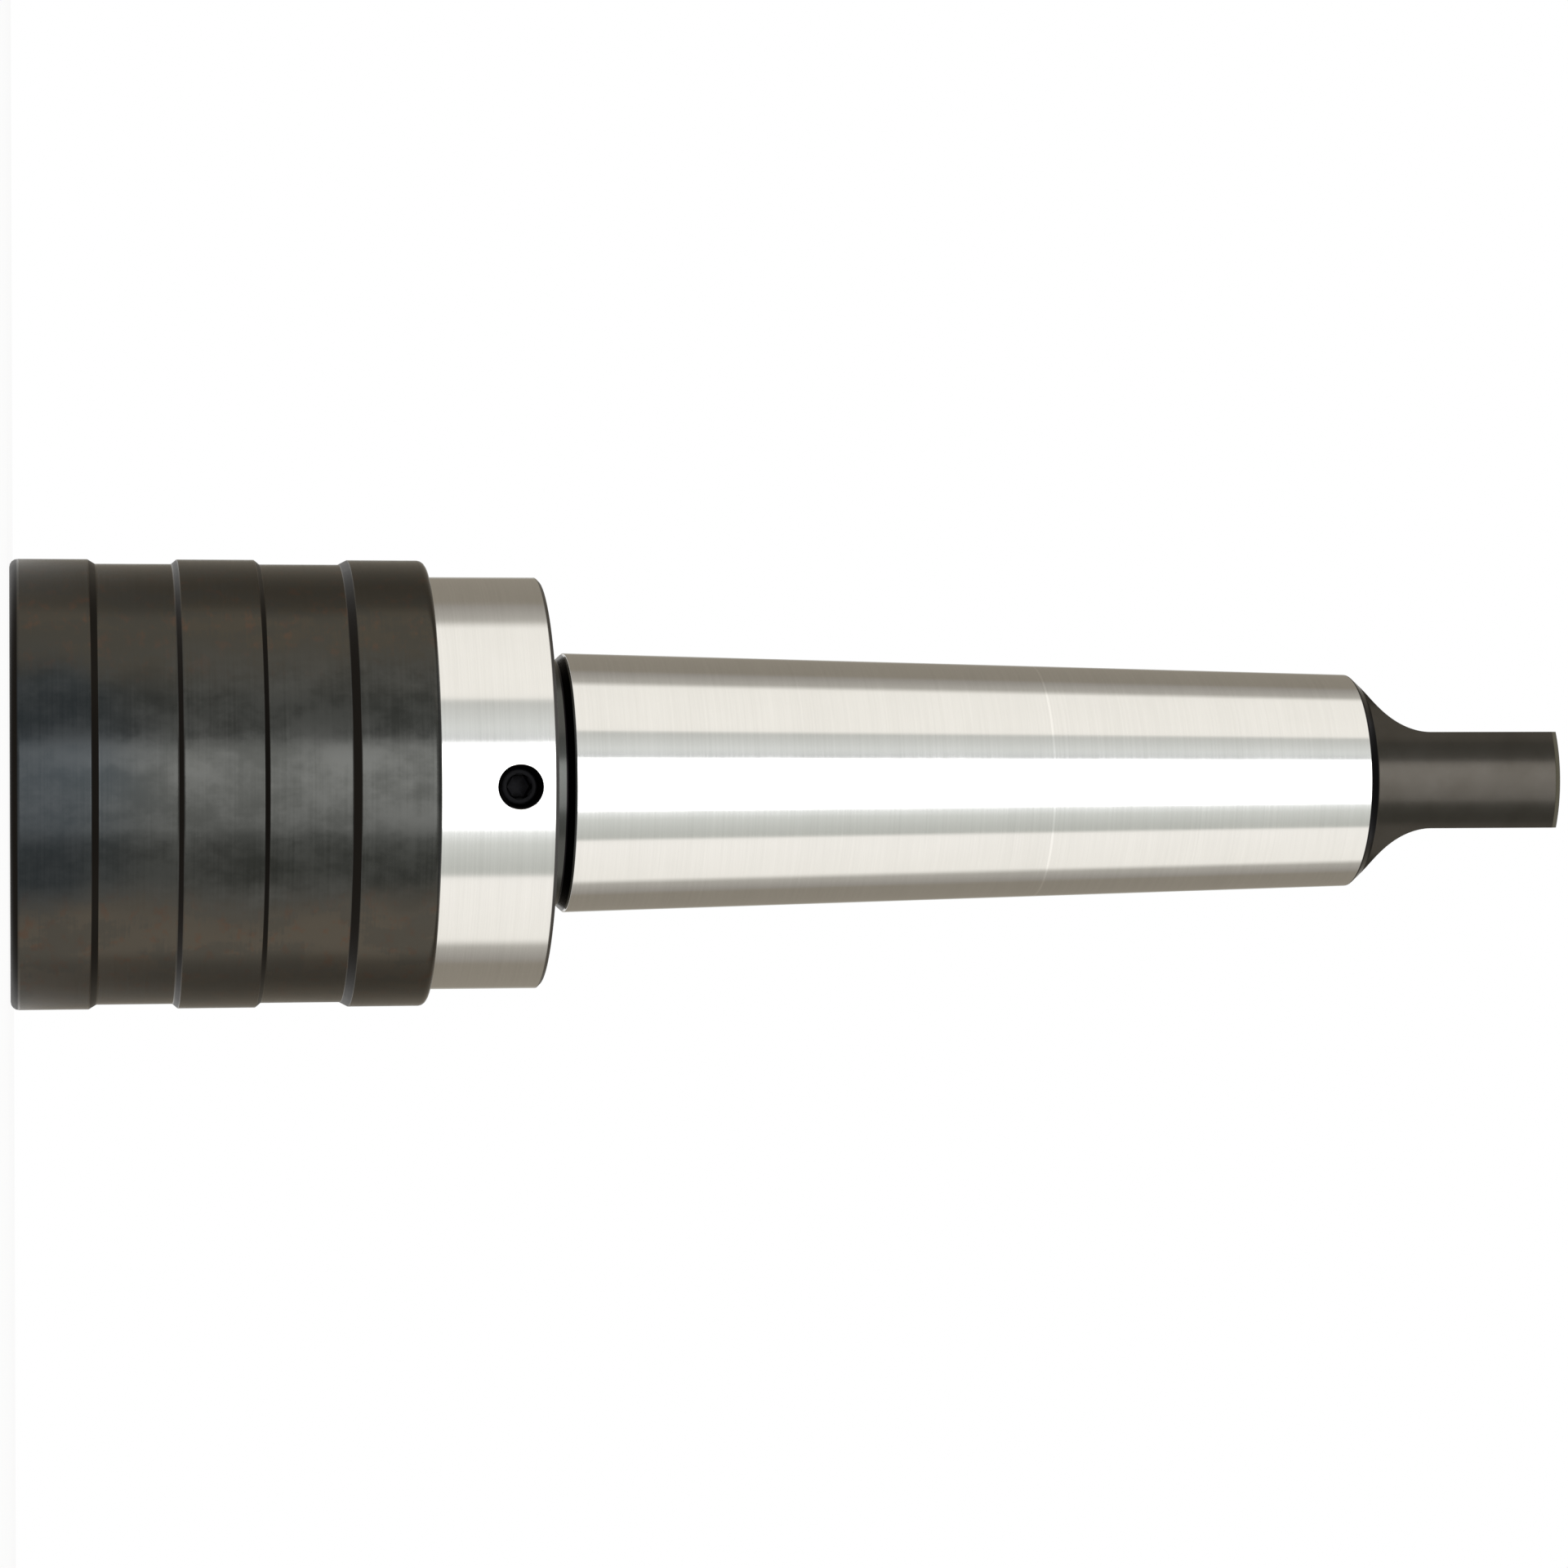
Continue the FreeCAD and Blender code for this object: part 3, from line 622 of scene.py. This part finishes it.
def taper_shank(material):
    """Shank as rings, each a circle cut by the two flats of the tang.

    The flats stand at the distance f from the axis: the tang's half thickness past their start,
    and before it the cutter's circle, which the rings follow in even turns. A ring of radius r
    is cut at the angles whose cosine is f / r. The columns follow that angle, so the edge of a
    flat is a line of the grid.
    """
    corners = rounded([
        (0, DRILL_POINT, 0), (ROD_BORE, ROD_BORE_END, 0.1), (ROD_BORE, ROD_BORE_START, 0.1),
        (COLLAR_SEAT, ROD_BORE_START, 0.1), (COLLAR_SEAT, RING_REAR, 0.1),
        (RING_GROOVE, RING_REAR, 0.1), (RING_GROOVE, RING_FRONT, 0.1),
        (COLLAR_SEAT, RING_FRONT, 0.1), (COLLAR_SEAT, STUB_FRONT, 0.2),
        (STUB_RADIUS, STUB_FRONT, 0.2), (STUB_RADIUS, BARREL_REAR, 0.02),
        (NECK_RADIUS, BARREL_REAR, 0.02), (NECK_RADIUS, NECK_END, 0.1),
        (TAPER_BIG, TAPER_START, 0.12), (TAPER_SMALL, TAPER_END, 0.3),
        (TANG_RADIUS, TANG_START, 0), (TANG_RADIUS, TANG_END - TANG_CHAMFER, 0.1),
        (TANG_RADIUS - TANG_CHAMFER, TANG_END, 0.05), (0, TANG_END, 0)])
    # The rings of the cutter's circle stand in for the corner at the tang's start
    front, rear = corners[1:15].reshape(-1, 2), corners[16:18, :-1].reshape(-1, 2)
    turn = np.linspace(0, np.pi / 2, CUTTER_ROWS)
    blend = FLAT_START - FLAT_CUTTER * np.cos(turn)
    slope = (TAPER_SMALL - TANG_RADIUS) / (TANG_START - TAPER_END)
    blend_radius = TANG_RADIUS + np.maximum(TANG_START - blend, 0) * slope
    section = np.concatenate([
        [[0, DRILL_POINT]], front, [[blend_radius[0], blend[0]]],
        np.stack([blend_radius, blend], axis=1), rear])
    radius, height = section[:, :1], section[:, 1:]
    flat = np.concatenate([
        np.full(len(front) + 2, FLAT_OUT_OF_REACH), TANG_HALF + FLAT_CUTTER * (1 - np.sin(turn)),
        np.full(len(rear), TANG_HALF)])[:, None]

    cut = np.arccos(np.minimum(flat / np.maximum(radius, 1e-6), 1))
    round_share = np.arange(ROUND_COLUMNS) / ROUND_COLUMNS
    flat_share = np.arange(FLAT_COLUMNS) / FLAT_COLUMNS
    sweep = (np.pi - 2 * cut) * round_share
    along_flat = radius * np.sin(cut) * (1 - 2 * flat_share)
    beside_flat = radius * np.cos(cut) + 0 * flat_share
    x = np.concatenate([radius * np.cos(cut + sweep), -beside_flat,
                        radius * np.cos(np.pi + cut + sweep), beside_flat], axis=1)
    y = np.concatenate([radius * np.sin(cut + sweep), along_flat,
                        radius * np.sin(np.pi + cut + sweep), -along_flat], axis=1)
    z = height + 0 * x

    # The end face goes in by its share from the tang's edge to the mouth of the centre hole
    turn = np.arctan2(y[-1], x[-1])
    share = np.array([0.02, 0.3, 0.6, 0.9, 0.98, 1.0])[:, None]
    face_x = (1 - share) * x[-1] + share * CENTRE_MOUTH * np.cos(turn)
    face_y = (1 - share) * y[-1] + share * CENTRE_MOUTH * np.sin(turn)
    hole = np.array(CENTRE_HOLE)
    x = np.concatenate([x, face_x, hole[:, :1] * np.cos(turn)])
    y = np.concatenate([y, face_y, hole[:, :1] * np.sin(turn)])
    z = np.concatenate([z, TANG_END + 0 * face_x, TANG_END + hole[:, 1:] + 0 * turn])
    points = np.stack([x, y, z], axis=-1) * MM
    return piece("shank_ground", "taper_shank", [(points, quads(*x.shape))],
                 material)


def lock_screw(material):
    """Set screw round its own axis: its turned side, then the socket's rings down to its floor.

    A hexagon of width w reaches w / (2 cos b) from its centre, b being the angle from the
    nearest flat.
    """
    turn = round_angles(SCREW_COLUMNS)
    flat_turn = (turn + np.pi / 6) % (np.pi / 3) - np.pi / 6
    hexagon = SOCKET_WIDTH / 2 / np.cos(flat_turn)
    side, floor = np.array(SCREW_SIDE), SCREW_TOP - SOCKET_DEPTH
    reach = np.concatenate([side[:, :1] + 0 * turn, [
        np.maximum(hexagon, SOCKET_MOUTH), hexagon, hexagon, hexagon * 0.97, 0 * turn]])
    socket = [SCREW_TOP - 0.02, SCREW_TOP - 0.2, floor + 0.05, floor, floor - 0.4]
    along = np.concatenate([side[:, 1], socket])[:, None] + 0 * reach
    points = beside_screw(along, reach * np.cos(turn), reach * np.sin(turn))
    return piece("screw_blackened", "lock_screw",
                 [(points, quads(len(points), SCREW_COLUMNS))], material)


def welded(node, material):
    """Copy of a CAD node, welded so that its round faces shade smoothly."""
    mesh = frame["nodes"][node].data.copy()
    return dressed(node + "_welded", node, mesh, material, SHARP_WELDED)


release_sleeve(black_oxide())
barrel(ground_barrel())
taper_shank(ground_shank())
# Blackened set screw, oily and uneven; its near-black colour, far darker than the sleeve's oxide,
# is partly painted shade deep in its hole
lock_screw(clouded("black_screw", 2.5, 3.0, (0.003, 0.003, 0.003), (0.008, 0.008, 0.009),
                   smoothest=0.25, duller=0.2, grain=(0.01, 0.4)))

# Parts inside: the name of their finish, the finish and the CAD nodes.
# The springs are dark and smooth, the balls are polished, and the rubber is dull and grained.
INSIDE = (
    ("hardened_steel", hardened_steel(),
     ("floating_spindle", "pull_rod", "rod_washer", "rod_nut", "spring_collar")),
    ("spring_steel",
     clouded("spring_steel", 0.8, 3.0, (0.16, 0.16, 0.17), (0.27, 0.26, 0.26),
             smoothest=0.25, duller=0.15, grain=(0.004, 0.4)),
     ("sleeve_clip", "collar_clip", "sleeve_spring", "compression_spring", "tension_spring")),
    ("ball_steel",
     clouded("ball_steel", 1.5, 4.0, (0.74, 0.74, 0.74), (0.82, 0.82, 0.81),
             smoothest=0.04, duller=0.06),
     ("locking_ball_1", "locking_ball_2", "locking_ball_3",
      "torque_ball_row_1", "torque_ball_row_2", "torque_ball_row_3")),
    ("wiper_rubber",
     clouded("wiper_rubber", 4.0, 3.0, (0.015, 0.015, 0.015), (0.030, 0.029, 0.028),
             smoothest=0.6, duller=0.15, grain=(0.02, 0.5), metallic=0.0),
     ("wiper_ring",)))
for slot, material, nodes in INSIDE:
    for node in nodes:
        welded(node, material)


# Studio

WHITE, DUSK, DARK = (1.0, 1.0, 1.0), (0.42, 0.40, 0.36), (0.25, 0.225, 0.185)
DIM, REAR, REAR_EDGE = (0.30, 0.28, 0.25), (0.55, 0.54, 0.52), (0.50, 0.49, 0.46)
SIDE_PANEL = (0.88, 0.85, 0.79)

# The round wall of the tent, the angles where its colour changes and its brightness
STUDIO_COLUMNS = 96
TENT_RADIUS, TENT_TOP, TENT_LEVEL = 1500.0, 2200.0, 1.18
TENT_STOPS = [
    (-180, REAR), (-172, REAR_EDGE), (-162, DARK), (-120, DARK), (-115, DIM), (-101.5, DUSK),
    (-95.5, SIDE_PANEL), (-47.8, (0.90, 0.87, 0.81)), (-45.5, (0.53, 0.53, 0.50)),
    (-30, (0.69, 0.70, 0.675)), (-25.5, (0.64, 0.65, 0.635)), (-23.5, (0.54, 0.545, 0.54)),
    (-21.5, WHITE), (24, WHITE), (26, (0.85, 0.86, 0.84)), (33, (0.63, 0.64, 0.605)),
    (42, (0.545, 0.552, 0.518)), (51, (0.485, 0.492, 0.455)), (53.5, (0.92, 0.89, 0.84)),
    (96.5, SIDE_PANEL), (102.5, DUSK), (115, DIM), (120, DARK), (162, DARK), (172, REAR_EDGE),
    (180, REAR)]

# The soft box in front: how much brighter than the tent it is, and how that fades to one side
BOX_START, BOX_END, BOX_TOP, BOX_TOP_EDGE = -21.0, 25.0, 1000.0, 150.0
BOX_LEVEL, BOX_FADE, BOX_FADE_START = 1.7, 0.75, -10.0

FLOOR_RADIUS, FLOOR_HEIGHT, FLOOR_WHITE, FLOOR_MIRRORED = 3000.0, -0.2, 0.9, 0.6


def tent_light():
    """Light tent whose colour goes with the angle round the object, with the soft box in it."""
    tree = finish("tent_light")
    x, y, z = tree.place()
    angle = x.math("ARCTAN2", y * -1.0) * (180 / math.pi)
    stops = [((stop + 180) / 360, colour) for stop, colour in TENT_STOPS]
    ramp = tree.node("ShaderNodeValToRGB", {"stops": stops}, {0: angle * (1 / 360) + 0.5})
    box = tree.between(angle, BOX_START, BOX_END, 0.8)
    box = box * (1 - tree.step(z, BOX_TOP, BOX_TOP + BOX_TOP_EDGE))
    fade = BOX_LEVEL - BOX_FADE * tree.step(angle, BOX_FADE_START, BOX_END)
    level = box * fade * TENT_LEVEL + TENT_LEVEL
    bright = tree.node("ShaderNodeVectorMath", {"operation": "SCALE"}, {0: ramp, "Scale": level})
    return tree.end(tree.glow(bright))


def roof_light():
    """Dim roof of the tent."""
    tree = finish("roof_light")
    return tree.end(tree.glow((0.50, 0.50, 0.50)))


def seen_ray(tree, mirrored=1.0):
    """1 for camera and transmission rays, and the given share for glossy rays."""
    camera, glossy, through = (
        tree.node("ShaderNodeLightPath", output=kind)
        for kind in ("Is Camera Ray", "Is Glossy Ray", "Is Transmission Ray"))
    return (camera + glossy * mirrored + through).math("MINIMUM", 1.0)


def pale_floor():
    """Pale floor that looks white and keeps the object's shadow, and is clear from below."""
    tree = finish("pale_floor")
    matte = tree.node("ShaderNodeBsdfDiffuse", sockets={"Color": (0.88, 0.88, 0.875)})
    shown = tree.node("ShaderNodeMixShader", sockets={
        0: seen_ray(tree, FLOOR_MIRRORED) * FLOOR_WHITE, 1: matte, 2: tree.glow(WHITE)})
    clear = tree.node("ShaderNodeBsdfTransparent")
    back = tree.node("ShaderNodeNewGeometry", output="Backfacing")
    return tree.end(tree.node("ShaderNodeMixShader", sockets={0: back, 1: shown, 2: clear}))


def stage_mesh(name, radii, heights, turned_in, material):
    """Ring of the studio between two radii and heights, facing its axis or up where turned in."""
    rings = (np.array(pair, float)[:, None] for pair in (radii, heights))
    points = turned(*rings, round_angles(STUDIO_COLUMNS))
    faces = quads(2, STUDIO_COLUMNS)[:, ::-1 if turned_in else 1]
    mesh = bpy.data.meshes.new(name)
    mesh.from_pydata(points.reshape(-1, 3).tolist(), [], faces.tolist())
    mesh.materials.append(material)
    made = bpy.data.objects.new(name, mesh)
    bpy.context.scene.collection.objects.link(made)
    return made


def studio():
    """Tent round the object, its roof and the floor."""
    tent = stage_mesh("tent", (TENT_RADIUS, TENT_RADIUS), (FLOOR_HEIGHT, TENT_TOP), True,
                      tent_light())
    roof = stage_mesh("tent_roof", (1.0, TENT_RADIUS), (TENT_TOP, TENT_TOP), False, roof_light())
    tent.visible_camera = roof.visible_camera = False
    stage_mesh("floor", (0.1, FLOOR_RADIUS), (FLOOR_HEIGHT, FLOOR_HEIGHT), True, pale_floor())


def white_world():
    """White to the camera and in reflections, plain grey light otherwise."""
    world = bpy.data.worlds.new("studio")
    bpy.context.scene.world = world
    tree = Finish(world)
    seen = tree.mix(seen_ray(tree), (0.8, 0.8, 0.8), WHITE)
    glow = tree.node("ShaderNodeBackground", sockets={"Color": seen, "Strength": 1.0})
    tree.end(glow, "ShaderNodeOutputWorld")


# Camera: its place in metres, its turns in degrees and its lens in mm
CAMERA_SPOT = (-0.000762, -0.565909, 0.000531)
CAMERA_YAW, CAMERA_PITCH, CAMERA_ROLL = 9.3703, -0.0998, -0.1707
CAMERA_LENS, CAMERA_SENSOR = 107.07, 36.0


def camera():
    """Camera beside the nose, turned on its side: the picture's right is up along the axis."""
    turns = (CAMERA_YAW, CAMERA_PITCH, CAMERA_ROLL)
    yaw, pitch, roll = (math.radians(angle) for angle in turns)
    forward = Vector((0, math.cos(yaw), math.sin(yaw)))
    right = Vector((0, -math.sin(yaw), math.cos(yaw)))
    up = Vector((-1, 0, 0))
    ahead = forward * math.cos(pitch) + up * math.sin(pitch)
    top = up * math.cos(pitch) - forward * math.sin(pitch)
    side = right * math.cos(roll) + top * math.sin(roll)
    top = top * math.cos(roll) - right * math.sin(roll)
    lens = bpy.data.cameras.new("camera")
    lens.lens, lens.sensor_width = CAMERA_LENS, CAMERA_SENSOR
    lens.clip_start, lens.clip_end = 0.01, 50.0
    made = bpy.data.objects.new("camera", lens)
    bpy.context.scene.collection.objects.link(made)
    turned_camera = Matrix((side, top, -ahead)).transposed().to_4x4()
    made.matrix_world = Matrix.Translation(CAMERA_SPOT) @ turned_camera
    bpy.context.scene.camera = made


studio()
white_world()
camera()
bpy.context.scene.view_settings.view_transform = "Standard"
